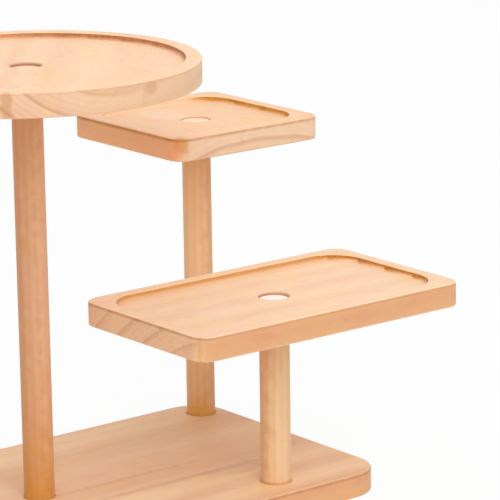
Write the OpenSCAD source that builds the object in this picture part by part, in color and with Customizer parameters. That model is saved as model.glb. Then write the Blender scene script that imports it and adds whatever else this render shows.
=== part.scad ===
// Wooden display riser: a base board with three round posts, each carrying one shallow tray.
// Origin: centre of the base board's underside. +X runs along the board's length to the right,
// +Y to the back and +Z up. All sizes are in millimetres.

/* [Base board] */
// Length of the base board
base_length = 300; // [260:5:420]
// Width of the base board, front to back
base_width = 184; // [170:1:260]
// Thickness of the base board
base_thickness = 14.5; // [13:0.5:24]
// Plan radius of the base board's corners
base_corner_radius = 24; // [6:1:30]

/* [Trays] */
// Thickness of each tray's board
tray_thickness = 14.5; // [11:0.5:22]
// Length of the rectangular tray
rect_tray_length = 194; // [150:1:220]
// Width of the rectangular tray
rect_tray_width = 115; // [90:1:130]
// Side of the square tray
square_tray_side = 112; // [80:1:120]
// Diameter of the round tray
round_tray_diameter = 200; // [140:5:210]
// Plan radius of the rectangular and square trays' outer corners
tray_corner_radius = 10; // [4:0.5:16]

/* [Recess in each tray] */
// Depth of the routed recess
recess_depth = 3.25; // [2:0.25:5]
// Width of the rim left around the rectangular and square trays' recesses
rim_width = 8.2; // [6:0.2:14]
// Width of the rim left around the round tray's recess
round_rim_width = 9.4; // [6:0.2:14]
// Plan radius of the recess's corners
recess_corner_radius = 22; // [8:1:24]
// Radius left by the cutter where the recess's wall meets its floor
floor_fillet = 0.8; // [0.4:0.1:1.6]

/* [Posts] */
// Diameter of each post
post_diameter = 18; // [14:0.5:24]
// Height from the base board's top to the round tray's underside
round_post_height = 245; // [215:0.5:300]
// Height from the base board's top to the square tray's underside
square_post_height = 179.5; // [150:0.5:195]
// Height from the base board's top to the rectangular tray's underside
rect_post_height = 102; // [60:0.5:130]
// How far the round tray's post ends below its floor
round_post_inset = 1.8; // [0.4:0.1:3]
// How far the square tray's post ends below its floor
square_post_inset = 0.9; // [0.4:0.1:3]
// How far the rectangular tray's post ends below its floor
rect_post_inset = 1.7; // [0.4:0.1:3]
// Depth of the blind socket in the base board
socket_depth = 8; // [6:0.5:10]
// Radial clearance of a glued post in its hole
glue_gap = 0.05; // [0.02:0.01:0.15]
// Width of the eased mouth around each post hole
hole_easing = 0.65; // [0.3:0.05:1.2]

/* [Places of the posts on the base board] */
// Distance from the board's middle to the round tray's post, to the left
round_post_left = 40; // [20:1:60]
// Distance from the board's right end to the square tray's post
square_post_from_right = 15.5; // [14:0.5:24]
// Distance from the board's back edge to the square tray's post
square_post_from_back = 20.5; // [14:0.5:24]
// Distance from the board's right end to the rectangular tray's post
rect_post_from_right = 67; // [50:1:80]
// Distance from the board's front edge to the rectangular tray's post
rect_post_from_front = 23.5; // [16:0.5:30]

/* [Eased edges] */
// Radius of the base board's eased edges
base_edge_radius = 1.3; // [0.5:0.1:3]
// Radius of the trays' eased outer edges
tray_edge_radius = 1.1; // [0.5:0.1:2]
// Width of the eased lip along the recess
lip_easing = 0.5; // [0.2:0.1:1]
// Width of the bevel on each post's ends
post_end_bevel = 0.4; // [0.2:0.1:0.8]

/* [Screws under the base board] */
// Length of each countersunk screw
screw_length = 30; // [20:1:40]
// Diameter over the screw's thread
screw_diameter = 4; // [3:0.1:5]
// Diameter of the screw's head
screw_head_diameter = 7.6; // [6:0.1:9]
// Distance from one thread ridge to the next
thread_pitch = 1.8; // [1.2:0.1:2.4]
// How far the head lies below the board's underside
head_inset = 0.4; // [0.2:0.1:1]
// Radial clearance around the screw
screw_gap = 0.1; // [0.05:0.05:0.3]

/* [Hidden] */
$fn = 96;
// Overshoot of a cut past the face that it opens
cut = 1;
post_radius = post_diameter / 2;
hole_radius = post_radius + glue_gap;
// Plan places of the three posts
round_xy = [-round_post_left, 0];
square_xy = [base_length / 2 - square_post_from_right, base_width / 2 - square_post_from_back];
rect_xy = [base_length / 2 - rect_post_from_right, rect_post_from_front - base_width / 2];
// Undersides of the three trays
round_tray_z = base_thickness + round_post_height;
square_tray_z = base_thickness + square_post_height;
rect_tray_z = base_thickness + rect_post_height;
// Height of a tray's floor over its underside, where the post's hole opens
web = tray_thickness - recess_depth;
socket_floor_z = base_thickness - socket_depth;
// A screw's head is a cone of 90 degrees down to its shank
shank_radius = screw_diameter * 0.35;
head_radius = screw_head_diameter / 2;
head_depth = head_radius - shank_radius;
thread_radius = screw_diameter / 2;
// The plain shank reaches just past the web under the socket
plain_shank = socket_floor_z - head_inset - head_depth + thread_pitch;
tip_length = screw_diameter;
thread_turns = floor((screw_length - head_depth - plain_shank - tip_length) / thread_pitch);
slot_width = screw_diameter * 0.22;
slot_length = screw_diameter * 1.05;
slot_depth = head_depth * 0.75;
wood_pale = [0.95, 0.78, 0.60];
wood_mid = [0.90, 0.70, 0.52];
wood_post = [0.84, 0.63, 0.42];
steel_zinc = [0.72, 0.72, 0.70];

// Half section of a board's edge: a rectangle from x = 0 whose outer corners are eased
module edge_section(reach, height, ease) {
    square([reach - ease, height]);
    translate([0, ease]) square([reach, height - 2 * ease]);
    translate([reach - ease, ease]) circle(r = ease);
    translate([reach - ease, height - ease]) circle(r = ease);
}

// Half section of a recess from its floor upwards: filleted below, with an eased lip at the rim
module recess_section(reach) {
    square([reach - floor_fillet, recess_depth + cut]);
    translate([0, floor_fillet]) square([reach, recess_depth + cut - floor_fillet]);
    translate([reach - floor_fillet, floor_fillet]) circle(r = floor_fillet);
    translate([0, recess_depth - lip_easing])
        polygon([[0, 0], [reach, 0], [reach + lip_easing + cut, lip_easing + cut], [0, lip_easing + cut]]);
}

// Carries a half section round a rectangle: straight runs on four sides and a turn at each corner
module around_rectangle(length, width, corner, height) {
    run_x = length - 2 * corner;
    run_y = width - 2 * corner;
    translate([-run_x / 2, -run_y / 2, 0]) cube([run_x, run_y, height]);
    for (side = [0, 1]) {
        rotate([0, 0, 180 * side]) {
            translate([run_x / 2, run_y / 2, 0]) rotate([90, 0, 0]) linear_extrude(run_y) children();
            translate([-run_x / 2, run_y / 2, 0]) rotate([90, 0, 90]) linear_extrude(run_x) children();
            translate([run_x / 2, run_y / 2, 0]) rotate_extrude(angle = 90) children();
            translate([-run_x / 2, run_y / 2, 0]) rotate([0, 0, 90]) rotate_extrude(angle = 90) children();
        }
    }
}

// A solid board with rounded corners and eased edges, standing on z = 0
module board(length, width, thickness, corner, ease) {
    around_rectangle(length, width, corner, thickness) edge_section(corner, thickness, ease);
}

// The recess of a rectangular or square tray, cut down from the rim
module recess(length, width) {
    translate([0, 0, web])
        around_rectangle(length - 2 * rim_width, width - 2 * rim_width, recess_corner_radius, recess_depth + cut)
            recess_section(recess_corner_radius);
}

// A post's hole whose eased mouth lies at height mouth and whose lower end is at height bottom
module post_hole(bottom, mouth) {
    translate([0, 0, bottom]) cylinder(r = hole_radius, h = mouth + cut - bottom);
    translate([0, 0, mouth - hole_easing])
        cylinder(r1 = hole_radius, r2 = hole_radius + hole_easing + cut, h = hole_easing + cut);
}

// A tray of plan size length by width, centred on its post hole
module four_sided_tray(length, width) {
    difference() {
        board(length, width, tray_thickness, tray_corner_radius, tray_edge_radius);
        recess(length, width);
        post_hole(-cut, web);
    }
}

module round_tray() {
    color(wood_pale) translate([round_xy[0], round_xy[1], round_tray_z]) difference() {
        rotate_extrude() edge_section(round_tray_diameter / 2, tray_thickness, tray_edge_radius);
        translate([0, 0, web]) rotate_extrude() recess_section(round_tray_diameter / 2 - round_rim_width);
        post_hole(-cut, web);
    }
}

module square_tray() {
    color(wood_pale) translate([square_xy[0], square_xy[1], square_tray_z])
        four_sided_tray(square_tray_side, square_tray_side);
}

module rectangular_tray() {
    color(wood_pale) translate([rect_xy[0], rect_xy[1], rect_tray_z])
        four_sided_tray(rect_tray_length, rect_tray_width);
}

// Everything that is cut in the base board for one post and the screw below it
module base_seat() {
    post_hole(socket_floor_z, base_thickness);
    translate([0, 0, -cut]) cylinder(r = thread_radius + screw_gap, h = socket_floor_z + 2 * cut);
    translate([0, 0, head_inset])
        cylinder(r1 = head_radius + screw_gap, r2 = shank_radius + screw_gap, h = head_depth);
    translate([0, 0, -cut]) cylinder(r = head_radius + screw_gap, h = head_inset + cut);
}

module base_board() {
    color(wood_mid) difference() {
        board(base_length, base_width, base_thickness, base_corner_radius, base_edge_radius);
        for (xy = [round_xy, square_xy, rect_xy])
            translate([xy[0], xy[1], 0]) base_seat();
    }
}

// A round post from its socket's floor up to just below its tray's floor, bored for its screw
module post(xy, tray_z, inset) {
    top_z = tray_z + web - inset;
    bore_depth = head_inset + screw_length - socket_floor_z + 2 * screw_gap;
    translate([xy[0], xy[1], socket_floor_z]) difference() {
        rotate_extrude() polygon([
            [0, 0],
            [post_radius - post_end_bevel, 0],
            [post_radius, post_end_bevel],
            [post_radius, top_z - socket_floor_z - post_end_bevel],
            [post_radius - post_end_bevel, top_z - socket_floor_z],
            [0, top_z - socket_floor_z]]);
        translate([0, 0, -cut]) cylinder(r = thread_radius + screw_gap, h = bore_depth + cut);
    }
}

module tall_post() {
    color(wood_post) post(round_xy, round_tray_z, round_post_inset);
}

module middle_post() {
    color(wood_post) post(square_xy, square_tray_z, square_post_inset);
}

module short_post() {
    color(wood_post) post(rect_xy, rect_tray_z, rect_post_inset);
}

// Half section of a screw standing on its head: head cone, plain shank, thread ridges and tip
module screw_section() {
    thread_start = head_depth + plain_shank;
    thread_end = thread_start + thread_turns * thread_pitch;
    ridges = [for (turn = [0:thread_turns - 1]) for (step = [0, 0.35, 0.5, 0.65])
        [step == 0.5 ? thread_radius : shank_radius, thread_start + (turn + step) * thread_pitch]];
    polygon(concat([[0, 0], [head_radius, 0], [shank_radius, head_depth]], ridges,
        [[shank_radius, thread_end], [0, screw_length]]));
}

module screw() {
    difference() {
        rotate_extrude() screw_section();
        for (turn = [0, 90])
            rotate([0, 0, turn]) translate([-slot_length / 2, -slot_width / 2, -cut])
                cube([slot_length, slot_width, slot_depth + cut]);
    }
}

module base_screws() {
    color(steel_zinc)
        for (xy = [round_xy, square_xy, rect_xy])
            translate([xy[0], xy[1], head_inset]) screw();
}

base_board();
tall_post();
middle_post();
short_post();
round_tray();
square_tray();
rectangular_tray();
base_screws();
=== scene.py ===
import math

import bpy
from mathutils import Euler, Matrix, Vector


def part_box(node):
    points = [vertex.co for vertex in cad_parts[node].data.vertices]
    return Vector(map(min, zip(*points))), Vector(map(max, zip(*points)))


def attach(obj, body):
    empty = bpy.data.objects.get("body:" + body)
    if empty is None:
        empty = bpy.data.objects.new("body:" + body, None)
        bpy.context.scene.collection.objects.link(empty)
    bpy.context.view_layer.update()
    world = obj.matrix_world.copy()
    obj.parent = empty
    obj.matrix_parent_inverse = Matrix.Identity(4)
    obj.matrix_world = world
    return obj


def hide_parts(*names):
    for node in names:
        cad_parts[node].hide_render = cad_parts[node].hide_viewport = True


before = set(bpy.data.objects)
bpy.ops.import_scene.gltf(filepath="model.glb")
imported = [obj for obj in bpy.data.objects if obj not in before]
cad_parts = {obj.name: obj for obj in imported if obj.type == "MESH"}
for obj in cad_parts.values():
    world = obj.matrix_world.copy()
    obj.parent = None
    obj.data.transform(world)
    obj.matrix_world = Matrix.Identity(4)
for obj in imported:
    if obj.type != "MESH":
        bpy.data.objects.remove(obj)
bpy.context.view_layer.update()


# Camera.
# It looks down at the riser from the front left, at the photograph's angle and distance, through
# a long lens. Its angles are in degrees, and its lens and sensor in millimetres.
CAMERA_PLACE = (-0.98493, -1.40079, 0.57551)
CAMERA_AZIMUTH = -38.262
CAMERA_PITCH = 13.818
CAMERA_ROLL = -0.854
CAMERA_LENS = 217.28
SENSOR_WIDTH = 36

camera = bpy.data.objects.new("camera", bpy.data.cameras.new("camera"))
camera.data.lens = CAMERA_LENS
camera.data.sensor_width = SENSOR_WIDTH
camera.matrix_world = (
    Matrix.Translation(CAMERA_PLACE)
    @ Matrix.Rotation(math.radians(CAMERA_AZIMUTH), 4, "Z")
    @ Matrix.Rotation(math.radians(90 - CAMERA_PITCH), 4, "X")
    @ Matrix.Rotation(math.radians(CAMERA_ROLL), 4, "Z")
)
bpy.context.scene.collection.objects.link(camera)
bpy.context.scene.camera = camera


# Studio.
# A white floor that runs out of sight, a white sky and two large soft lamps. The camera sees
# floor and sky as white, and the floor keeps the riser's shadow.
FLOOR_HALF = 6.0
FLOOR_WHITE = (0.9, 0.9, 0.9, 1)
FLOOR_ROUGHNESS = 0.9
FLOOR_GLOW_SHARE = 0.93
SKY_WHITE = (1, 1, 1, 1)
SKY_LIGHT = 0.66
LAMPS = {
    "key_lamp": {"place": (-0.75, -1.95, 1.7), "size": 1.8, "power": 31},
    "top_lamp": {"place": (0.1, 0.2, 2.2), "size": 1.6, "power": 6},
}
LAMP_AIM = Vector((0.02, 0, 0.12))


class Graph:
    """Adds nodes to a node tree, and links or sets their inputs by name or by number."""

    def __init__(self, tree):
        self.tree = tree

    def add(self, kind, inputs=None, **settings):
        made = self.tree.nodes.new(kind)
        for key, value in settings.items():
            setattr(made, key, value)
        for key, value in (inputs or {}).items():
            if isinstance(value, bpy.types.NodeSocket):
                self.tree.links.new(value, made.inputs[key])
            else:
                made.inputs[key].default_value = value
        return made

    def calc(self, operation, *values):
        """Output of a Math node."""
        return self.add("ShaderNodeMath", dict(enumerate(values)), operation=operation).outputs[0]

    def vector(self, operation, *values):
        """Vector output of a Vector Math node."""
        made = self.add("ShaderNodeVectorMath", dict(enumerate(values)), operation=operation)
        return made.outputs["Vector"]

    def measure(self, operation, *values):
        """Number output of a Vector Math node."""
        made = self.add("ShaderNodeVectorMath", dict(enumerate(values)), operation=operation)
        return made.outputs["Value"]

    def scaled(self, vector, factor):
        """A vector times a number."""
        return self.add("ShaderNodeVectorMath", {0: vector, "Scale": factor}, operation="SCALE").outputs[0]

    def combine(self, x=0.0, y=0.0, z=0.0):
        """A vector from its three parts."""
        return self.add("ShaderNodeCombineXYZ", {0: x, 1: y, 2: z}).outputs[0]

    def part(self, vector, axis):
        """One part of a vector: axis 0 is X, 1 is Y and 2 is Z."""
        return self.add("ShaderNodeSeparateXYZ", {0: vector}).outputs[axis]


def new_material(name):
    """A material and the graph of its nodes."""
    material = bpy.data.materials.new(name)
    material.use_nodes = True
    return material, Graph(material.node_tree)


def seen_white(g):
    """1 for a ray from the camera, and for one that metal mirrors: both see a white studio."""
    rays = g.add("ShaderNodeLightPath").outputs
    mirrored = g.calc("MAXIMUM", rays["Is Glossy Ray"], rays["Is Transmission Ray"])
    return g.calc("MAXIMUM", rays["Is Camera Ray"], mirrored)


floor_mesh = bpy.data.meshes.new("floor")
corners = [(FLOOR_HALF * x, FLOOR_HALF * y, 0) for x, y in ((-1, -1), (1, -1), (1, 1), (-1, 1))]
floor_mesh.from_pydata(corners, [], [(0, 1, 2, 3)])
floor = bpy.data.objects.new("floor", floor_mesh)
bpy.context.scene.collection.objects.link(floor)

floor_paint, g = new_material("floor_paint")
floor_mesh.materials.append(floor_paint)
surface = g.tree.nodes["Principled BSDF"]
surface.inputs["Base Color"].default_value = FLOOR_WHITE
surface.inputs["Roughness"].default_value = FLOOR_ROUGHNESS
glow = g.add("ShaderNodeEmission").outputs[0]
glow_share = g.calc("MULTIPLY", seen_white(g), FLOOR_GLOW_SHARE)
blend = g.add("ShaderNodeMixShader", {0: glow_share, 1: surface.outputs[0], 2: glow}).outputs[0]
g.tree.links.new(blend, g.tree.nodes["Material Output"].inputs[0])

sky = bpy.data.worlds.new("sky")
sky.use_nodes = True
bpy.context.scene.world = sky
g = Graph(sky.node_tree)
sky_range = {"Value": seen_white(g), "To Min": SKY_LIGHT, "To Max": 1.0}
strength = g.add("ShaderNodeMapRange", sky_range).outputs[0]
background = g.tree.nodes["Background"]
background.inputs["Color"].default_value = SKY_WHITE
g.tree.links.new(strength, background.inputs["Strength"])

for name, lamp in LAMPS.items():
    light = bpy.data.lights.new(name, "AREA")
    light.size = lamp["size"]
    light.energy = lamp["power"]
    light_object = bpy.data.objects.new(name, light)
    light_object.location = lamp["place"]
    aim = LAMP_AIM - Vector(lamp["place"])
    light_object.rotation_euler = aim.to_track_quat("-Z", "Y").to_euler()
    bpy.context.scene.collection.objects.link(light_object)

bpy.context.scene.view_settings.view_transform = "Standard"


# Base board.
# A planed hardwood board with rounded corners, its edges rounded over by a router and sanded.
# Three blind sockets take the posts' feet, each with a countersunk hole below it for a screw.
MARKS = ("cut", "chatter", "wander", "seam", "line", "ease", "rim", "stain", "crown")
SIDES = 4
BITE_CURVE = 1.5  # how late in a pass the cutter bites in
CHANCE_SHARE = 0.4  # of a pass's slip, the rest of which is its bite
SHADED_FROM = 0.9  # how squarely a ring's side has to point to the shade side to take its painted shade in full
MERGE_WITHIN = 1e-6
SMOOTH_BELOW = 32  # degrees between two faces
CUTTER_SEED = 0


def ring(half_x, half_y, corner, height, **marks):
    """One ring of a lofted skin: a rounded rectangle, or a circle where all three sizes agree.

    Its marks are shares from 0 to 1: cut is what the cutter scorched, together with painted shade that
    is darkest on the wall under a recess's lip and in its floor's crease, chatter how far that comes
    and goes with the cutter's passes, wander how far the ring follows the cutter's unsteady path,
    seam a dark joint, and in a tray's post hole painted shade, line the router's line,
    with painted shade on the side turned away and over part of the rounding, ease a rounded edge,
    lightened as a painted highlight, rim the flat top round a recess, stain the glue line at
    a post's foot, with painted shade at its foot and top, and crown a post's end."""
    sizes = {"half_x": half_x, "half_y": half_y, "corner": corner, "height": height}
    return sizes | {name: marks.get(name, 0.0) for name in MARKS}


def circle(radius, height, **marks):
    """One round ring of a lofted skin."""
    return ring(radius, radius, radius, height, **marks)


def new_tree(name, inputs, result):
    """The graph of an empty Geometry Nodes tree with named inputs, and those inputs."""
    tree = bpy.data.node_groups.new(name, "GeometryNodeTree")
    for title, kind in inputs.items():
        tree.interface.new_socket(title, in_out="INPUT", socket_type="NodeSocket" + kind)
    tree.interface.new_socket(result, in_out="OUTPUT", socket_type="NodeSocketGeometry")
    g = Graph(tree)
    return g, g.add("NodeGroupInput").outputs


def ended(g, geometry, finish):
    """Ends a tree with real, smooth geometry in one material, and gives the tree."""
    geometry = g.add("GeometryNodeSetShadeSmooth", {"Geometry": geometry}).outputs[0]
    geometry = g.add("GeometryNodeRealizeInstances", {"Geometry": geometry}).outputs[0]
    geometry = g.add("GeometryNodeSetMaterial", {"Geometry": geometry, "Material": finish}).outputs[0]
    g.add("NodeGroupOutput", {0: geometry})
    return g.tree


def eased(g, value, low, high, to_low=0.0, to_high=1.0):
    """A value carried from one range to another with a soft start and end."""
    numbers = {"Value": value, "From Min": low, "From Max": high, "To Min": to_low, "To Max": to_high}
    return g.add("ShaderNodeMapRange", numbers, interpolation_type="SMOOTHSTEP").outputs[0]


def ring_loft_tree():
    """Geometry Nodes tree that lofts a skin over rings, each given as one point of a mesh.

    A row of the skin runs round each ring: an arc at every corner, then a straight run."""
    g, given = new_tree("ring_loft", {
        "Rings": "Geometry", "Corner steps": "Int", "Run steps": "Int", "Place": "Vector",
        "Cutter wander": "Float", "Cutter chatter": "Float", "Pass length": "Float",
        "Pass start": "Float", "Shade side": "Vector", "Spared wall": "Float",
        "Spared line": "Float", "Seed": "Int", "Finish": "Material"}, "Skin")

    def whole_times(size, count):
        """How many whole times a size goes into a count."""
        return g.calc("FLOOR", g.calc("DIVIDE", g.calc("ADD", count, 0.5), size))

    ring_count = g.add("GeometryNodeAttributeDomainSize", {0: given["Rings"]}).outputs["Point Count"]
    per_side = g.calc("ADD", given["Corner steps"], given["Run steps"])
    columns = g.calc("MULTIPLY_ADD", per_side, SIDES, 1.0)
    grid = g.add("GeometryNodeMeshGrid", {"Vertices X": ring_count, "Vertices Y": columns})
    index = g.add("GeometryNodeInputIndex").outputs[0]
    row = whole_times(columns, index)
    column = g.calc("SUBTRACT", index, g.calc("MULTIPLY", row, columns))

    def of_ring(name):
        value = g.add("GeometryNodeInputNamedAttribute", {"Name": name}, data_type="FLOAT").outputs[0]
        return g.add("GeometryNodeSampleIndex", {"Geometry": given["Rings"], "Value": value, "Index": row},
                     data_type="FLOAT", domain="POINT").outputs[0]

    corner = of_ring("corner")
    reach_x = g.calc("SUBTRACT", of_ring("half_x"), corner)
    reach_y = g.calc("SUBTRACT", of_ring("half_y"), corner)
    side = whole_times(per_side, column)
    step = g.calc("SUBTRACT", column, g.calc("MULTIPLY", side, per_side))
    turned = g.calc("MINIMUM", g.calc("DIVIDE", step, given["Corner steps"]), 1.0)
    beyond = g.calc("MAXIMUM", g.calc("SUBTRACT", step, given["Corner steps"]), 0.0)
    along_run = g.calc("DIVIDE", beyond, given["Run steps"])

    def corner_centre(which):
        angle = g.calc("MULTIPLY_ADD", which, math.pi / 2, math.pi / 4)
        x = g.calc("MULTIPLY", g.calc("SIGN", g.calc("COSINE", angle)), reach_x)
        y = g.calc("MULTIPLY", g.calc("SIGN", g.calc("SINE", angle)), reach_y)
        return g.combine(x, y, of_ring("height"))

    this_corner = corner_centre(side)
    next_corner = corner_centre(g.calc("ADD", side, 1.0))
    to_next = g.scaled(g.vector("SUBTRACT", next_corner, this_corner), along_run)
    angle = g.calc("MULTIPLY", g.calc("ADD", side, turned), math.pi / 2)
    spoke = g.combine(g.calc("COSINE", angle), g.calc("SINE", angle))
    outline = g.vector("ADD", g.vector("ADD", this_corner, to_next), g.scaled(spoke, corner))

    travel = g.calc("SUBTRACT", g.part(outline, 1), g.part(outline, 0))
    passes = g.calc("ADD", g.calc("DIVIDE", travel, given["Pass length"]), given["Pass start"])
    chance = g.add("FunctionNodeRandomValue", {"ID": g.calc("FLOOR", passes), "Seed": given["Seed"]},
                   data_type="FLOAT").outputs[1]
    bite = g.calc("POWER", g.calc("FRACT", passes), BITE_CURVE)
    slip = g.calc("MULTIPLY_ADD", chance, CHANCE_SHARE, g.calc("MULTIPLY", bite, 1 - CHANCE_SHARE))
    slip = g.calc("MULTIPLY", g.calc("MULTIPLY", slip, of_ring("wander")), given["Cutter wander"])
    place = g.vector("ADD", g.vector("ADD", outline, g.scaled(spoke, slip)), given["Place"])

    # Painted shade: the recess wall on the shade side and the edge's line on the far side, both turned the
    # same way, darken in full, the rest by the spared shares
    def shaded_towards(side, spared):
        return eased(g, g.measure("DOT_PRODUCT", spoke, side), 0.0, SHADED_FROM, spared, 1.0)

    lost = g.calc("MULTIPLY", g.calc("SUBTRACT", 1.0, bite), of_ring("chatter"))
    lost = g.calc("MULTIPLY", lost, shaded_towards(given["Shade side"], 0.0))
    kept = g.calc("SUBTRACT", 1.0, g.calc("MULTIPLY", lost, given["Cutter chatter"]))
    burn = {"cut": g.calc("MULTIPLY", kept, shaded_towards(given["Shade side"], given["Spared wall"])),
            "line": shaded_towards(g.scaled(given["Shade side"], -1.0), given["Spared line"])}
    skin = grid.outputs["Mesh"]
    for name in MARKS:
        share = g.calc("MULTIPLY", of_ring(name), burn[name]) if name in burn else of_ring(name)
        skin = g.add("GeometryNodeStoreNamedAttribute", {"Geometry": skin, "Name": name, "Value": share},
                     data_type="FLOAT", domain="POINT").outputs[0]
    skin = g.add("GeometryNodeSetPosition", {"Geometry": skin, "Position": place}).outputs[0]
    skin = g.add("GeometryNodeMergeByDistance", {"Geometry": skin, "Distance": MERGE_WITHIN}).outputs[0]
    skin = g.add("GeometryNodeFlipFaces", {"Mesh": skin}).outputs[0]
    return ended(g, skin, given["Finish"])


def point_set(name, places):
    """An object of loose points, for a tree to build on."""
    points = bpy.data.meshes.new(name)
    points.from_pydata(places, [], [])
    piece = bpy.data.objects.new(name, points)
    bpy.context.scene.collection.objects.link(piece)
    return piece


def built(piece, tree, inputs):
    """Runs a Geometry Nodes tree on a piece and keeps only the plain mesh that it makes."""
    modifier = piece.modifiers.new(tree.name, "NODES")
    modifier.node_group = tree
    for item in tree.interface.items_tree:
        if item.item_type == "SOCKET" and item.in_out == "INPUT" and item.name in inputs:
            modifier[item.identifier] = inputs[item.name]
    evaluated = piece.evaluated_get(bpy.context.evaluated_depsgraph_get())
    mesh = bpy.data.meshes.new_from_object(evaluated)
    piece.modifiers.clear()
    piece.data = mesh
    mesh.set_sharp_from_angle(angle=math.radians(SMOOTH_BELOW))
    return piece


RING_LOFT = ring_loft_tree()


def lofted(name, rings, finish, place=(0, 0, 0), corner_steps=12, run_steps=24, wander=0.0, chatter=1.0,
           pass_length=0.02, pass_start=0.0, burnt_side=(1, 0, 0), spared_wall=1.0, spared_line=1.0):
    """A closed piece whose skin is lofted over rings. The recess's wall on burnt_side and the line on
    the far side's edge, both turned away from burnt_side, take their marks in full as painted shade,
    and the rest keeps the spared shares."""
    piece = point_set(name, [(0, 0, r["height"]) for r in rings])
    for key in rings[0]:
        values = [r[key] for r in rings]
        piece.data.attributes.new(key, "FLOAT", "POINT").data.foreach_set("value", values)
    return built(piece, RING_LOFT, {
        "Corner steps": corner_steps, "Run steps": run_steps, "Place": place,
        "Cutter wander": wander, "Cutter chatter": chatter, "Pass length": pass_length,
        "Pass start": pass_start, "Shade side": burnt_side, "Spared wall": spared_wall,
        "Spared line": spared_line, "Seed": CUTTER_SEED, "Finish": finish})


def tint(colour):
    """A colour as it looks on a screen, 0 to 255, as the numbers that a shader takes."""
    shares = [value / 255 for value in colour]
    return (*[s / 12.92 if s < 0.04045 else ((s + 0.055) / 1.055) ** 2.4 for s in shares], 1)


def mixed(g, share, first, second, blend="MIX"):
    """Colour output of a Mix node: share 0 gives the first colour and share 1 the second."""
    made = g.add("ShaderNodeMix", {0: share, 6: first, 7: second}, data_type="RGBA", blend_type=blend)
    return made.outputs[2]


def noise(g, vector, fineness, seed, detail=2.0, output="Fac"):
    """A noise that is stretched along the grain: fineness is how fine it is each way."""
    numbers = {"Vector": g.vector("MULTIPLY", vector, fineness), "W": seed, "Scale": 1.0, "Detail": detail}
    return g.add("ShaderNodeTexNoise", numbers, noise_dimensions="4D").outputs[output]


def hump(g, value, start, peak):
    """Rises softly from start to peak, and falls again to nothing at 1."""
    return g.calc("MULTIPLY", eased(g, value, start, peak), eased(g, value, 1.0, peak))


# Fineness of the wood's patterns along the grain and across it, per metre
RING_BENDS = (4.0, 16.0, 16.0)
BROAD_STREAKS = (2.5, 60.0, 60.0)
HAIR_STREAKS = (9.0, 420.0, 420.0)
FIBRES = (60.0, 2200.0, 2200.0)
MOTTLE = (70.0, 190.0, 190.0)
FLECKS = (260.0, 2400.0, 2400.0)
BLUSH = (22.0, 50.0, 50.0)
PATCHES = (140.0, 140.0, 140.0)
TEARS = (700.0, 700.0, 900.0)

# Where a noise starts to show as its pattern, and where it does so in full
FLECK_BAND = (0.66, 0.8)
PATCH_BAND = (0.3, 0.7)
TEAR_BAND = (0.42, 0.64)

# How much each pattern moves the wood's tone, and how much it raises or sinks its surface
WIDE_TONE = 1.1
FINE_TONE = 0.45
FIBRE_TONE = 0.35
MOTTLE_TONE = 0.35
FIBRE_RISE = 0.6
FINE_RISE = 0.5
FLECK_SINK = 0.5
LATE_SINK = 0.3
TORN_SINK = 1.0

# Growth rings: how far they wander, and where in a year each kind of band starts and peaks
RING_WANDER = 0.009
LATE_PEAK = 0.93
SOFT_BAND = (0.2, 0.7)
THIN_BAND = (0.5, 0.9)
THIN_RINGS = 4.3  # in each year's ring
THIN_SHARE = 0.22
WEAKEST_YEAR = 0.4

# Where a face starts to look like its kind, and where it does so in full
# Upright faces take deeper colours than level ones: painted shade by how each face is turned
EDGE_FACES = (0.8, 0.3)  # by how level it is
END_FACES = (0.5, 0.9)  # by how squarely it crosses the grain
END_ARCS = (0.55, 0.95)

# Shades that multiply the wood's, and colours that cover it
ROSY = (0.99, 0.92, 0.95, 1)
GOLDEN = (1.0, 0.98, 0.86, 1)
HUES = ((0.75, ROSY), (0.25, GOLDEN))  # each with the height of a noise where it is full
TORN_SHADE = (0.66, 0.57, 0.36, 1)
# Dark joints, and painted shade in a tray's post hole
SEAM_AND_SHADE = (150, 92, 48)
# The glue line's colour, also painted shade at a post's foot and top
STAIN_AND_SHADE = (208, 140, 38)
FLECK_SHARE = 0.3
# How far a rounded edge is lightened as a painted highlight
EASED_SHARE = 0.25

PATCHY_LEAST = 0.6  # of a mark's strength where it is weakest
SCORCH_AND_SHADE_FROM = 0.9  # the share of a cut mark that shows its scorching and painted shade in full
SCORCH_AND_SHADE_LEAST = 0.9
TORN_FROM = 0.6  # the share of a cut mark above which it tears the wood
TORN_MOST = 0.9
SPOT_FADE = (1.25, 0.45)  # of a spot's reach, where it ends and where it is full
SPOT_RAGGEDNESS = 1.2
WOOD_RELIEF = 0.0002
WOOD_ROUGHNESS = (0.5, 0.62)
WOOD_GLOSS = {"Specular IOR Level": 0.4, "Sheen Weight": 0.1, "Sheen Roughness": 0.5}


def growth_rings(g, grain, pith, growth, late_from, seed):
    """Growth rings round the pith line: the bent grain, the late wood as crisp as end grain shows
    it, the same as soft as long faces show it, and each year's own strength."""
    bend = g.vector("SUBTRACT", noise(g, grain, RING_BENDS, seed, output="Color"), (0.5, 0.5, 0.5))
    bent = g.vector("ADD", grain, g.vector("MULTIPLY", bend, (0.0, RING_WANDER, RING_WANDER)))
    from_pith = g.vector("MULTIPLY", g.vector("SUBTRACT", bent, (0.0, *pith)), (0.0, 1.0, 1.0))
    years = g.calc("DIVIDE", g.measure("LENGTH", from_pith), growth)
    season = g.calc("FRACT", years)
    thin = hump(g, g.calc("FRACT", g.calc("MULTIPLY", years, THIN_RINGS)), *THIN_BAND)
    crisp = g.calc("MULTIPLY_ADD", thin, THIN_SHARE, hump(g, season, late_from, LATE_PEAK))
    soft = hump(g, season, *SOFT_BAND)
    chance = g.add("ShaderNodeTexWhiteNoise", {"W": g.calc("ADD", g.calc("FLOOR", years), seed)},
                   noise_dimensions="1D").outputs[0]
    strength = g.calc("MULTIPLY_ADD", chance, 1 - WEAKEST_YEAR, WEAKEST_YEAR)
    return bent, crisp, soft, strength


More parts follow.
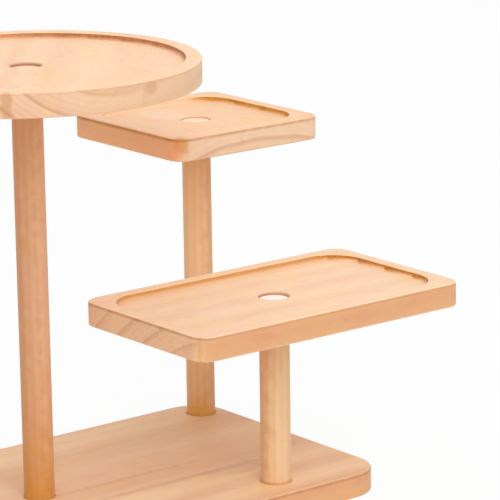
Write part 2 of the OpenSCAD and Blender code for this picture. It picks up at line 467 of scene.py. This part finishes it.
def spot(place, reach, strength, shade):
    """A darker or paler spot, its place given from the finish's centre: some are marks in the wood, some
    painted light and shade.
    """
    return {"place": Vector(place), "reach": reach, "strength": strength, "shade": shade}


def spotted(g, colour, here, centre, patchy, spots):
    """A colour with ragged spots in it."""
    ragged = g.calc("SUBTRACT", patchy, (1 + PATCHY_LEAST) / 2)
    for one in spots:
        offset = g.vector("SUBTRACT", here, Vector(centre) + one["place"])
        away = g.measure("LENGTH", g.vector("DIVIDE", offset, one["reach"]))
        away = g.calc("MULTIPLY_ADD", ragged, SPOT_RAGGEDNESS, away)
        share = eased(g, away, *SPOT_FADE, 0.0, one["strength"])
        colour = mixed(g, share, colour, tint(one["shade"]))
    return colour


def finished(g, colour, roughness, height, relief):
    """Links a colour, a roughness and a fine relief to a material's surface."""
    surface = g.tree.nodes["Principled BSDF"]
    bump = g.add("ShaderNodeBump", {"Height": height, "Distance": relief}).outputs[0]
    g.tree.links.new(colour, surface.inputs["Base Color"])
    g.tree.links.new(roughness, surface.inputs["Roughness"])
    g.tree.links.new(bump, surface.inputs["Normal"])
    return surface


def wood_finish(name, turn, centre, pith, growth, seed, face, edge, end, line, streaks, lines,
                late_from=0.74, bands=0.2, scorch_and_shade=(236, 160, 88), rim=(250, 208, 168),
                crown=(250, 222, 194), guide_and_shade=(188, 128, 76), spots=()):
    """Bare sanded hardwood, cut out of a trunk: growth rings lie round a pith line that runs along the
    grain, so long faces show fibres and streaks, and end faces show arcs and pores.

    turn is the turn in degrees that brings the grain onto X, centre the point that the pith line
    and the spots are placed from, pith the pith line's place across the grain, and growth the
    width of a year's ring. face, edge and end each hold a pale and a deep colour, for level faces,
    upright faces and end grain; upright faces take the deeper colours as painted shade. line is the
    late wood's colour, and lines how strongly it shows along the grain and on end grain. late_from
    is the share of a ring that comes before it, bands how strongly a year's soft bands show, and
    streaks how strongly the streaks do. scorch_and_shade, rim, crown and guide_and_shade are the
    colours of the marks that the piece's rings carry, the first and the last with painted shade in them."""
    material, g = new_material(name)
    angles = Euler([math.radians(a) for a in turn])
    shift = angles.to_matrix() @ -Vector(centre)
    given = g.add("ShaderNodeTexCoord").outputs
    here = given["Object"]
    grain = g.add("ShaderNodeMapping", {"Vector": here, "Rotation": angles, "Location": shift}).outputs[0]
    facing = g.add("ShaderNodeMapping", {"Vector": given["Normal"], "Rotation": angles},
                   vector_type="VECTOR").outputs[0]
    endwise = g.calc("ABSOLUTE", g.part(facing, 0))
    level = g.calc("ABSOLUTE", g.part(given["Normal"], 2))

    bent, crisp, soft, strength = growth_rings(g, grain, pith, growth, late_from, seed)
    crispness = eased(g, endwise, *END_ARCS)
    late = g.calc("MULTIPLY_ADD", g.calc("SUBTRACT", crisp, soft), crispness, soft)
    late = g.calc("MULTIPLY", late, strength)
    wide = noise(g, bent, BROAD_STREAKS, seed + 1, detail=3.0)
    fine = noise(g, bent, HAIR_STREAKS, seed + 2, detail=3.0)
    fibre = noise(g, bent, FIBRES, seed + 3)
    mottle = noise(g, bent, MOTTLE, seed + 4)
    fleck = eased(g, noise(g, bent, FLECKS, seed + 5, detail=1.0), *FLECK_BAND)
    blush = noise(g, grain, BLUSH, seed + 6)
    patches = noise(g, grain, PATCHES, seed + 7, detail=3.0)
    patchy = eased(g, patches, *PATCH_BAND, PATCHY_LEAST, 1.0)

    tone = 0.5
    shares = [(wide, WIDE_TONE * streaks), (fine, FINE_TONE * streaks), (fibre, FIBRE_TONE),
              (mottle, MOTTLE_TONE), (soft, bands)]
    for value, share in shares:
        tone = g.calc("MULTIPLY_ADD", g.calc("SUBTRACT", value, 0.5), share, tone)
    on_face, on_edge, on_end = [mixed(g, tone, tint(pale), tint(deep)) for pale, deep in (face, edge, end)]
    # Upright faces turn deeper than level ones: painted shade
    colour = mixed(g, eased(g, level, *EDGE_FACES), on_face, on_edge)
    colour = mixed(g, eased(g, endwise, *END_FACES), colour, on_end)
    ringed = g.calc("MULTIPLY", late, eased(g, endwise, *END_ARCS, *lines))
    colour = mixed(g, ringed, colour, tint(line))
    colour = mixed(g, g.calc("MULTIPLY", fleck, FLECK_SHARE), colour, tint(line))
    for high, hue in HUES:
        for value in (blush, mottle):
            colour = mixed(g, eased(g, value, 0.5, high), colour, hue, "MULTIPLY")
    colour = spotted(g, colour, here, centre, patchy, spots)

    def mark(name):
        return g.add("ShaderNodeAttribute", attribute_name=name).outputs["Fac"]

    uneven = eased(g, patchy, PATCHY_LEAST, 1.0, SCORCH_AND_SHADE_LEAST, 1.0)
    scorched_and_shaded = g.calc("MULTIPLY", eased(g, mark("cut"), 0.0, SCORCH_AND_SHADE_FROM), uneven)
    torn = eased(g, noise(g, grain, TEARS, seed + 8), *TEAR_BAND)
    torn = g.calc("MULTIPLY", torn, eased(g, mark("cut"), TORN_FROM, 1.0, 0.0, TORN_MOST))
    colour = mixed(g, mark("rim"), colour, tint(rim))
    # The glue line, and painted shade at a post's foot and top
    colour = mixed(g, g.calc("MULTIPLY", mark("stain"), patchy), colour, tint(STAIN_AND_SHADE))
    # The cutter's scorching, together with painted shade on recess walls, under lips and in creases
    colour = mixed(g, scorched_and_shaded, colour, tint(scorch_and_shade))
    colour = mixed(g, torn, colour, TORN_SHADE, "MULTIPLY")
    # Painted highlight: rounded edges and lips lightened towards the face's pale colour
    colour = mixed(g, g.calc("MULTIPLY", mark("ease"), EASED_SHARE), colour, tint(face[0]))
    # The router's line, with painted shade on the side turned away and over part of the rounding
    colour = mixed(g, g.calc("MULTIPLY", mark("line"), patchy), colour, tint(guide_and_shade))
    # Dark joints, and painted shade in a tray's post hole
    colour = mixed(g, mark("seam"), colour, tint(SEAM_AND_SHADE))
    colour = mixed(g, mark("crown"), colour, tint(crown))

    relief = g.calc("ADD", g.calc("MULTIPLY", fibre, FIBRE_RISE), g.calc("MULTIPLY", fine, FINE_RISE))
    for value, share in ((fleck, FLECK_SINK), (late, LATE_SINK), (torn, TORN_SINK)):
        relief = g.calc("SUBTRACT", relief, g.calc("MULTIPLY", value, share))
    surface = finished(g, colour, eased(g, tone, 0.0, 1.0, *WOOD_ROUGHNESS), relief, WOOD_RELIEF)
    for socket, value in WOOD_GLOSS.items():
        surface.inputs[socket].default_value = value
    return material


SUPPORT = 0.0004  # from an edge's rounding to the row that keeps the flat beside it flat
ROUNDING_STEPS = 5
GUIDE_LINE = 0.0009
GUIDE_GROOVE = 0.00015


def quarter_turn(steps):
    """Angles of a quarter turn, from 0 to 90 degrees."""
    return [math.pi / 2 * i / steps for i in range(steps + 1)]


def board_edge(half_x, half_y, corner, low, high, ease, line, width=GUIDE_LINE, climb=0.9):
    """Rings round a board's edge from its underside to its top: rounded over below and above, with
    the fine groove that the router's guiding bearing leaves under the upper rounding. line is how
    dark it is, in part painted shade, width how wide, and climb how much of the rounding it takes in,
    as painted shade over the rounding's highlight."""
    def at(inset, height, **marks):
        return ring(half_x - inset, half_y - inset, corner - inset, height, **marks)

    turns = quarter_turn(ROUNDING_STEPS)
    seat = high - ease
    rings = [at(ease + SUPPORT, low)]
    rings += [at(ease * (1 - math.sin(t)), low + ease * (1 - math.cos(t)), ease=0.5) for t in turns]
    rings += [at(0, low + ease + SUPPORT), at(0, seat - 1.5 * width), at(0, seat - width, line=0.4 * line)]
    rings += [at(GUIDE_GROOVE, seat - width / 2, line=line), at(0, seat, line=line)]
    rings += [at(ease * (1 - math.cos(t)), seat + ease * math.sin(t), ease=math.sin(t),
                 line=line * min(1, 2 * max(0, 1 - math.sin(t) / climb))) for t in turns[1:]]
    rings += [at(ease + SUPPORT, high)]
    return rings


_, board_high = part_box("base_board")
BOARD_HALF_X = board_high.x
BOARD_HALF_Y = board_high.y
BOARD_TOP = board_high.z
BOARD_CORNER = 0.024
BOARD_EASE = 0.0013
SOCKET_DEPTH = 0.008
SOCKET_FLOOR = BOARD_TOP - SOCKET_DEPTH
HOLE_RADIUS = 0.00905
MOUTH_EASE = 0.00065
SCREW_HOLE_RADIUS = 0.0021
COUNTERSINK_RADIUS = 0.0039
COUNTERSINK_INSET = 0.0004
COUNTERSINK_DEPTH = 0.0017
OVERSHOOT = 0.001  # of a cutter past the surface that it cuts

board_finish = wood_finish(
    "base_wood", turn=(0, 0, 0), centre=(0, 0, 0), pith=(0.02, -0.16), growth=0.014, seed=3,
    face=((249, 215, 174), (237, 191, 148)), edge=((233, 181, 134), (223, 166, 119)),
    end=((231, 176, 133), (216, 155, 112)), line=(214, 150, 112), streaks=1.2, lines=(0.3, 0.5),
    guide_and_shade=(176, 104, 66), spots=[
        # A painted shadow of the rectangular tray above; the two after it are long streaks along the grain
        spot((0.084, -0.034, BOARD_TOP), (0.03, 0.012, 0.01), 0.35, (204, 152, 120)),
        spot((0.016, -0.007, BOARD_TOP), (0.06, 0.0025, 0.01), 0.35, (206, 152, 116)),
        spot((0.035, -0.030, BOARD_TOP), (0.07, 0.003, 0.01), 0.4, (206, 152, 116))])
middle = ring(BOARD_HALF_X - BOARD_HALF_Y, 0, 0, 0)
board_rings = [middle]
board_rings += board_edge(BOARD_HALF_X, BOARD_HALF_Y, BOARD_CORNER, 0, BOARD_TOP, BOARD_EASE, line=0.6,
                          width=0.0006)
board_rings += [dict(middle, height=BOARD_TOP)]
base_board = lofted("base_board_wood", board_rings, board_finish, corner_steps=14, run_steps=30)


def post_place(node):
    """Place on plan of a round post's axis, from its CAD box."""
    low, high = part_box(node)
    return (low.x + high.x) / 2, (low.y + high.y) / 2, 0


POST_PLACES = {node: post_place(node) for node in ("tall_post", "middle_post", "short_post")}


def drilled_tree():
    """Geometry Nodes tree that drills a board: the drill's shape is taken out at each point."""
    g, given = new_tree("drilled", {
        "Board": "Geometry", "Drill": "Object", "Places": "Object", "Finish": "Material"}, "Drilled board")
    drill = g.add("GeometryNodeObjectInfo", {"Object": given["Drill"]}).outputs["Geometry"]
    places = g.add("GeometryNodeObjectInfo", {"Object": given["Places"]}).outputs["Geometry"]
    drills = g.add("GeometryNodeInstanceOnPoints", {"Points": places, "Instance": drill}).outputs[0]
    drills = g.add("GeometryNodeRealizeInstances", {"Geometry": drills}).outputs[0]
    board = g.add("GeometryNodeMeshBoolean", {0: given["Board"], 1: drills}, operation="DIFFERENCE",
                  solver="EXACT").outputs[0]
    return ended(g, board, given["Finish"])


drill_rings = [
    circle(0, -OVERSHOOT),
    circle(COUNTERSINK_RADIUS, -OVERSHOOT),
    circle(COUNTERSINK_RADIUS, COUNTERSINK_INSET),
    circle(SCREW_HOLE_RADIUS, COUNTERSINK_INSET + COUNTERSINK_DEPTH),
    circle(SCREW_HOLE_RADIUS, SOCKET_FLOOR),
    circle(HOLE_RADIUS, SOCKET_FLOOR),
    circle(HOLE_RADIUS, BOARD_TOP - MOUTH_EASE, seam=1),
    circle(HOLE_RADIUS + MOUTH_EASE + OVERSHOOT, BOARD_TOP + OVERSHOOT),
    circle(0, BOARD_TOP + OVERSHOOT),
]
drill = lofted("drill", drill_rings, board_finish, run_steps=0)
places = point_set("post_places", list(POST_PLACES.values()))
built(base_board, drilled_tree(), {"Drill": drill, "Places": places, "Finish": board_finish})
for made in (drill, places):
    bpy.data.objects.remove(made)
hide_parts("base_board")
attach(base_board, "root")


# Posts.
# Three lengths of one round dowel, bevelled at both ends and glued into a socket and a tray, each
# end bare a little below its tray's floor. Each is painted paler or darker down its left and its
# right as light and shade, and a glue line rings its foot. Painted shade darkens each top under its
# tray, and a golden foot stands for painted shade and warm bounce light off the board; the short
# post's foot is painted paler instead, as light.
POST_BEVEL = 0.0004
PILOT_RADIUS = 0.0021
PILOT_TOP = 0.0306
DOWEL_ROWS = 40
SHADE_REACH = 0.11
FOOT_REACH = 0.012
GLUE_LINE = 0.0009
GLUE_SHARE = 0.5
SHADING_WAY = (0.79, -0.61)  # on plan, to the right as the camera sees it
SHADING_REACH = 1.15  # of the dowel's radius

# The foot spot and the strips on the left and the right are painted light and shade; each has a strength
# and a colour
DOWELS = {
    "tall_post": {
        "seed": 11, "pale": (219, 169, 132), "deep": (202, 144, 104), "crown": (252, 216, 189),
        "foot_shade": 0.9, "top_shade": 0.5, "foot": (0.3, (214, 146, 40)),
        "left": (0.4, (200, 132, 70)), "right": (0.4, (238, 190, 148))},
    "middle_post": {
        "seed": 23, "pale": (243, 204, 161), "deep": (230, 182, 136), "crown": (255, 222, 190),
        "foot_shade": 0.3, "top_shade": 0.3, "foot": (0.6, (226, 164, 20)),
        "left": (0.2, (236, 184, 132)), "right": (0.5, (206, 146, 92))},
    "short_post": {
        "seed": 31, "pale": (241, 207, 165), "deep": (229, 185, 138), "crown": (255, 255, 250),
        "foot_shade": 0.0, "top_shade": 0.3, "foot": (0.3, (244, 204, 176)),
        "left": (0.4, (204, 140, 78)), "right": (0.2, (222, 172, 126))},
}
for node, dowel in DOWELS.items():
    low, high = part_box(node)
    radius = (high.x - low.x) / 2
    x, y, _ = POST_PLACES[node]
    shades = (dowel["pale"], dowel["deep"])
    # The foot spot: painted shade and warm bounce light, on the short post painted light
    spots = [spot((0, 0, BOARD_TOP), (2 * radius, 2 * radius, FOOT_REACH), *dowel["foot"])]
    shading_reach = (SHADING_REACH * radius, SHADING_REACH * radius, high.z)
    # Painted shade and painted light down the post's left and right sides
    for side, way in (("left", -radius), ("right", radius)):
        place = (way * SHADING_WAY[0], way * SHADING_WAY[1], (low.z + high.z) / 2)
        spots.append(spot(place, shading_reach, *dowel[side]))
    post_finish = wood_finish(
        node + "_wood", turn=(0, 90, 0), centre=(x, y, 0), pith=(0.012, 0.03), growth=0.0045,
        seed=dowel["seed"], face=shades, edge=shades, end=shades, line=(206, 140, 92),
        streaks=0.2, lines=(0.1, 0.1), crown=dowel["crown"], spots=spots)
    side_length = high.z - low.z - 2 * POST_BEVEL
    heights = [low.z + POST_BEVEL + side_length * i / DOWEL_ROWS for i in range(DOWEL_ROWS + 1)]
    heights += [BOARD_TOP + GLUE_LINE * i for i in range(3)]
    post_rings = [circle(0, PILOT_TOP), circle(PILOT_RADIUS, PILOT_TOP), circle(PILOT_RADIUS, low.z)]
    post_rings += [circle(radius - POST_BEVEL, low.z)]
    for height in sorted(heights):
        # Painted shade fades up from the foot and down from the top; the glue line rings the foot
        from_foot = min(1, abs(height - BOARD_TOP) / SHADE_REACH)
        from_top = min(1, (high.z - height) / SHADE_REACH)
        stain = dowel["foot_shade"] * (1 - from_foot) ** 2 + dowel["top_shade"] * (1 - from_top) ** 2
        glue = GLUE_SHARE if BOARD_TOP <= height < BOARD_TOP + 1.5 * GLUE_LINE else 0
        post_rings += [circle(radius, height, stain=max(stain, glue))]
    insets = (POST_BEVEL, 2 * POST_BEVEL, radius)
    post_rings += [circle(radius - inset, high.z, crown=1) for inset in insets]
    post = lofted(node + "_dowel", post_rings, post_finish, (x, y, 0), corner_steps=14, run_steps=0)
    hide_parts(node)
    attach(post, "root")


# Round tray.
# A disc turned from one board, its recess routed out with a rim left standing. The post comes
# through a hole in its middle. The cutter has scorched and torn the recess's wall, and painted
# shade darkens it further on the right and in the hole round the post's end.
ROUND_RIM = 0.0094
RIM = 0.0082
RECESS_DEPTH = 0.00325
RECESS_CORNER = 0.022
TRAY_CORNER = 0.010
TRAY_EASE = 0.0011
LIP = 0.0005
LIP_STEPS = 4
FLOOR_FILLET = 0.0008
CUTTER_WANDER = 0.0004
ROUND_GRAIN_RISE = 0.0075  # of the grain's centre over the tray's underside


def tray_rings(half_x, half_y, corner, rim, recess_corner, low, high, hole_shade, line, width, climb):
    """Rings of a tray, from its post hole's lower edge out, over the rim, in and back down. hole_shade is
    how dark the hole's wall stands round the post's end, as painted shade, line how dark the router's
    line is, in part painted shade, width how wide, and climb how much of the edge's rounding it takes
    in, as painted shade over its highlight."""
    floor = high - RECESS_DEPTH
    turns = quarter_turn(LIP_STEPS)

    def recess(outward, height, **marks):
        return ring(half_x - rim + outward, half_y - rim + outward, recess_corner + outward,
                    height, **marks)

    def wall(outward, height, **marks):
        return recess(outward, height, wander=1, rim=0.9, **marks)

    start = circle(HOLE_RADIUS, low, seam=hole_shade)
    rings = [start, circle(HOLE_RADIUS + SUPPORT, low)]
    rings += board_edge(half_x, half_y, corner, low, high, TRAY_EASE, line, width, climb)
    rings += [recess(rim - TRAY_EASE - 3 * SUPPORT, high, rim=0.4)]
    rings += [recess(LIP + 3 * SUPPORT, high, rim=0.4)]
    rings += [recess(LIP + SUPPORT, high, ease=1)]
    # The wall is darkest under the lip and in the floor's crease: painted shade with the scorching
    rings += [wall(LIP * (1 - math.sin(t)), high - LIP * (1 - math.cos(t)), cut=(1 - math.cos(t)) ** 2,
                   ease=math.cos(t)) for t in turns]
    rings += [wall(0, high - LIP - SUPPORT, cut=1)]
    rings += [wall(0, high - LIP - 2.5 * SUPPORT, cut=1, chatter=0.3)]
    rings += [wall(-FLOOR_FILLET * (1 - math.cos(t)), floor + FLOOR_FILLET * (1 - math.sin(t)),
                   cut=0.85 - 0.3 * math.sin(t), chatter=0.8) for t in turns]
    rings += [recess(-FLOOR_FILLET - SUPPORT, floor, wander=1, cut=0.35, chatter=0.8)]
    rings += [recess(-FLOOR_FILLET - 5 * SUPPORT, floor)]
    rings += [circle(HOLE_RADIUS + MOUTH_EASE + SUPPORT, floor)]
    # Painted shade down the post hole's wall, round the post's end
    rings += [circle(HOLE_RADIUS + MOUTH_EASE, floor, seam=hole_shade / 3)]
    rings += [circle(HOLE_RADIUS, floor - MOUTH_EASE, seam=hole_shade)]
    rings += [circle(HOLE_RADIUS, low + SUPPORT, seam=hole_shade), start]
    return rings


def add_tray(node, post, finish, hole_shade, line, width=GUIDE_LINE, climb=0.4, is_round=False, **cutting):
    """A tray in its node's place, lofted and set on its post. cutting says how its skin is divided
    and how the cutter ran."""
    low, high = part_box(node)
    x, y, _ = POST_PLACES[post]
    half_x = (high.x - low.x) / 2
    half_y = (high.y - low.y) / 2
    plan = (half_x, half_y, TRAY_CORNER, RIM, RECESS_CORNER)
    if is_round:
        plan = (half_x, half_x, half_x, ROUND_RIM, half_x - ROUND_RIM)
    rings = tray_rings(*plan, low.z, high.z, hole_shade, line, width, climb)
    tray = lofted(node + "_wood", rings, finish, (x, y, 0), wander=CUTTER_WANDER, **cutting)
    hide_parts(node)
    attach(tray, "root")


x, y, _ = POST_PLACES["tall_post"]
low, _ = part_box("round_tray")
round_finish = wood_finish(
    "round_tray_wood", turn=(0, 0, -52), centre=(x, y, low.z + ROUND_GRAIN_RISE),
    pith=(-0.061, 0.084), growth=0.01375, seed=41, face=((254, 215, 176), (248, 201, 159)),
    edge=((235, 196, 159), (224, 179, 138)), end=((237, 198, 163), (224, 177, 140)),
    line=(190, 132, 96), scorch_and_shade=(194, 124, 74), streaks=0.25, lines=(0.1, 0.85), spots=[
        spot((-0.0647, -0.0763, 0.0005), (0.0034, 0.0034, 0.0090), 0.6, (204, 142, 100)),
        spot((0.0142, -0.0985, 0.0026), (0.0056, 0.0056, 0.0036), 0.5, (204, 146, 100)),
        spot((0.0100, -0.0990, -0.0015), (0.0025, 0.0025, 0.0065), 0.25, (212, 160, 118))])
add_tray("round_tray", "tall_post", round_finish, hole_shade=0.6, line=0.15, is_round=True,
         corner_steps=64, run_steps=0, chatter=0.4, pass_length=0.03, burnt_side=(1, -0.1, 0),
         spared_wall=0.5)


# Square tray.
# Cut from one board, its grain from front to back, with painted shade as a golden patch down its
# rounded front corner. Its edges and recess are finished as the round tray's are.
x, y, _ = POST_PLACES["middle_post"]
low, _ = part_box("square_tray")
square_finish = wood_finish(
    "square_tray_wood", turn=(0, 0, -90), centre=(x, y, low.z), pith=(-0.004, -0.1445),
    growth=0.0192, seed=52, face=((255, 210, 167), (248, 196, 150)),
    edge=((247, 185, 132), (235, 171, 118)), end=((239, 210, 178), (229, 190, 157)),
    line=(200, 146, 112), scorch_and_shade=(212, 144, 20), streaks=0.4, lines=(0.2, 0.8),
    rim=(254, 216, 180), guide_and_shade=(184, 114, 34), spots=[
        spot((-0.0519, -0.0543, 0.0095), (0.0052, 0.0052, 0.0085), 0.7, (214, 146, 72)),
        spot((-0.0055, 0.0245, 0.0113), (0.0140, 0.0220, 0.0100), 0.35, (255, 226, 202))])
add_tray("square_tray", "middle_post", square_finish, hole_shade=0.3, line=1.0, width=0.0013, climb=0.5,
         corner_steps=12, run_steps=44, chatter=0.4, pass_length=0.026, burnt_side=(0.99, 0.12, 0),
         spared_wall=0.0, spared_line=0.55)


# Rectangular tray.
# Cut from one board, its grain along its length. The cutter has stepped inwards and scorched the
# recess's right end, pass by pass, and painted shade darkens that end further.
x, y, _ = POST_PLACES["short_post"]
low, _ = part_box("rectangular_tray")
rectangular_finish = wood_finish(
    "rectangular_tray_wood", turn=(0, 0, 0), centre=(x, y, low.z), pith=(-0.1025, -0.1429),
    growth=0.01476, seed=63, face=((254, 221, 187), (246, 206, 165)),
    edge=((227, 173, 125), (217, 158, 109)), end=((240, 198, 157), (229, 179, 140)),
    line=(196, 138, 98), scorch_and_shade=(200, 130, 6), streaks=0.5, lines=(0.08, 0.48), late_from=0.66,
    bands=0.14, guide_and_shade=(184, 116, 56), spots=[
        # Painted shade: a golden streak down the rounded front-left corner
        spot((-0.0953, -0.0531, 0.0070), (0.0018, 0.0018, 0.0120), 0.6, (216, 160, 88)),
        spot((-0.0430, -0.0055, 0.0113), (0.0200, 0.0120, 0.0100), 0.35, (255, 224, 200))])
add_tray("rectangular_tray", "short_post", rectangular_finish, hole_shade=0.4, line=0.75, climb=0.7,
         corner_steps=12, run_steps=60, pass_length=0.0258, pass_start=0.283, spared_wall=0.6,
         spared_line=0.4)


# Screws.
# Three zinc-plated countersunk wood screws, driven up through the base board into the posts. Each
# has a cross slot in its head, a plain shank and a rolled thread that bites into the post's end.
HEAD_RADIUS = 0.0038
HEAD_FACE = 0.0004
HEAD_DEPTH = 0.0024
HEAD_EDGE = (0.00015, 0.00012)  # inwards and upwards
SHANK_RADIUS = 0.0014
SCREW_TIP = 0.0304
POINT_LENGTH = 0.004
THREAD_START = 0.0083
THREAD_TURNS = 10
THREAD_PITCH = 0.0018
THREAD_DEPTH = 0.0006
THREAD_STEPS = 24  # in each turn
THREAD_RUNOUT = 0.06  # of its length, at each end
THREAD_THINNEST = 0.1  # of its depth, at its ends
FLANK_CORNERS = 4
SLOT_LENGTH = 0.0042
SLOT_WIDTH = 0.00088
SLOT_DEPTH = 0.0018
DRIVING_SEED = 5
ZINC_DARK = (0.56, 0.56, 0.55, 1)
ZINC_PALE = (0.80, 0.80, 0.78, 1)
ZINC_CLOUDS = (700.0, 700.0, 700.0)
ZINC_ROLLING = (500.0, 500.0, 8000.0)
CLOUD_BAND = (0.2, 0.8)
ZINC_ROUGHNESS = (0.28, 0.46)
ZINC_RELIEF = 0.00003


def screw_tree():
    """Geometry Nodes tree that sets a screw at each point: a turned body, less its two slots, with
    a thread swept along a helix, each turned by chance about its own axis."""
    g, given = new_tree("driven_screws", {
        "Places": "Geometry", "Body": "Object", "Slot": "Object", "Cross slot": "Object",
        "Thread start": "Float", "Thread turns": "Float", "Thread pitch": "Float",
        "Thread depth": "Float", "Shank radius": "Float", "Seed": "Int", "Finish": "Material"}, "Screws")
    height = g.calc("MULTIPLY", given["Thread turns"], given["Thread pitch"])
    helix = g.add("GeometryNodeCurveSpiral", {
        "Resolution": THREAD_STEPS, "Rotations": given["Thread turns"], "Height": height,
        "Start Radius": given["Shank radius"], "End Radius": given["Shank radius"]}).outputs[0]
    helix = g.add("GeometryNodeSetCurveNormal", {"Curve": helix}, mode="Z_UP").outputs[0]
    flank = g.add("GeometryNodeCurvePrimitiveCircle", {
        "Resolution": FLANK_CORNERS, "Radius": given["Thread depth"]}).outputs[0]
    along = g.add("GeometryNodeSplineParameter").outputs["Factor"]
    ending = g.calc("MINIMUM", along, g.calc("SUBTRACT", 1.0, along))
    full = g.add("ShaderNodeMapRange", {
        "Value": ending, "From Max": THREAD_RUNOUT, "To Min": THREAD_THINNEST}).outputs[0]
    thread = g.add("GeometryNodeCurveToMesh", {
        "Curve": helix, "Profile Curve": flank, "Scale": full, "Fill Caps": True}).outputs[0]
    lift = g.combine(z=given["Thread start"])
    thread = g.add("GeometryNodeTransform", {"Geometry": thread, "Translation": lift}).outputs[0]
    screw = g.add("GeometryNodeObjectInfo", {"Object": given["Body"]}).outputs["Geometry"]
    for slot in ("Slot", "Cross slot"):
        cutter = g.add("GeometryNodeObjectInfo", {"Object": given[slot]}).outputs["Geometry"]
        screw = g.add("GeometryNodeMeshBoolean", {0: screw, 1: cutter}, operation="DIFFERENCE",
                      solver="EXACT").outputs[0]
    both = g.add("GeometryNodeMeshBoolean", operation="UNION", solver="EXACT")
    for solid in (thread, screw):
        g.tree.links.new(solid, both.inputs[1])
    turn = g.add("FunctionNodeRandomValue", {0: (0, 0, 0), 1: (0, 0, math.tau), "Seed": given["Seed"]},
                 data_type="FLOAT_VECTOR").outputs[0]
    screws = g.add("GeometryNodeInstanceOnPoints", {
        "Points": given["Places"], "Instance": both.outputs[0], "Rotation": turn}).outputs[0]
    return ended(g, screws, given["Finish"])


def slot_cutter(name, along_x):
    """A cutter for one arm of a head's cross slot, narrower at its bottom."""
    bottom = HEAD_FACE + SLOT_DEPTH
    rings = []
    for share, height in ((0, -OVERSHOOT), (1 / 2, -OVERSHOOT), (1 / 3, bottom), (0, bottom)):
        length = SLOT_LENGTH * share
        width = SLOT_WIDTH * share
        half_x, half_y = (length, width) if along_x else (width, length)
        rings.append(ring(half_x, half_y, min(width, SLOT_WIDTH / 8), height))
    return lofted(name, rings, zinc, corner_steps=2, run_steps=2)


zinc, g = new_material("zinc_plate")
here = g.add("ShaderNodeTexCoord").outputs["Object"]
cloud = noise(g, here, ZINC_CLOUDS, seed=71, detail=3.0)
rolled = noise(g, here, ZINC_ROLLING, seed=72)
shade = mixed(g, cloud, ZINC_DARK, ZINC_PALE)
roughness = eased(g, cloud, *CLOUD_BAND, *ZINC_ROUGHNESS)
surface = finished(g, shade, roughness, rolled, ZINC_RELIEF)
surface.inputs["Metallic"].default_value = 1

body = lofted("screw_body", [
    circle(0, HEAD_FACE),
    circle(HEAD_RADIUS - HEAD_EDGE[0], HEAD_FACE),
    circle(HEAD_RADIUS, HEAD_FACE + HEAD_EDGE[1]),
    circle(SHANK_RADIUS, HEAD_FACE + HEAD_DEPTH),
    circle(SHANK_RADIUS, SCREW_TIP - POINT_LENGTH),
    circle(0, SCREW_TIP),
], zinc, corner_steps=10, run_steps=0)
slot = slot_cutter("slot", True)
cross_slot = slot_cutter("cross_slot", False)
screws = point_set("zinc_screws", list(POST_PLACES.values()))
built(screws, screw_tree(), {
    "Body": body, "Slot": slot, "Cross slot": cross_slot, "Thread start": THREAD_START,
    "Thread turns": THREAD_TURNS, "Thread pitch": THREAD_PITCH, "Thread depth": THREAD_DEPTH,
    "Shank radius": SHANK_RADIUS, "Seed": DRIVING_SEED, "Finish": zinc})
for made in (body, slot, cross_slot):
    bpy.data.objects.remove(made)
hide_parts("base_screws")
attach(screws, "root")
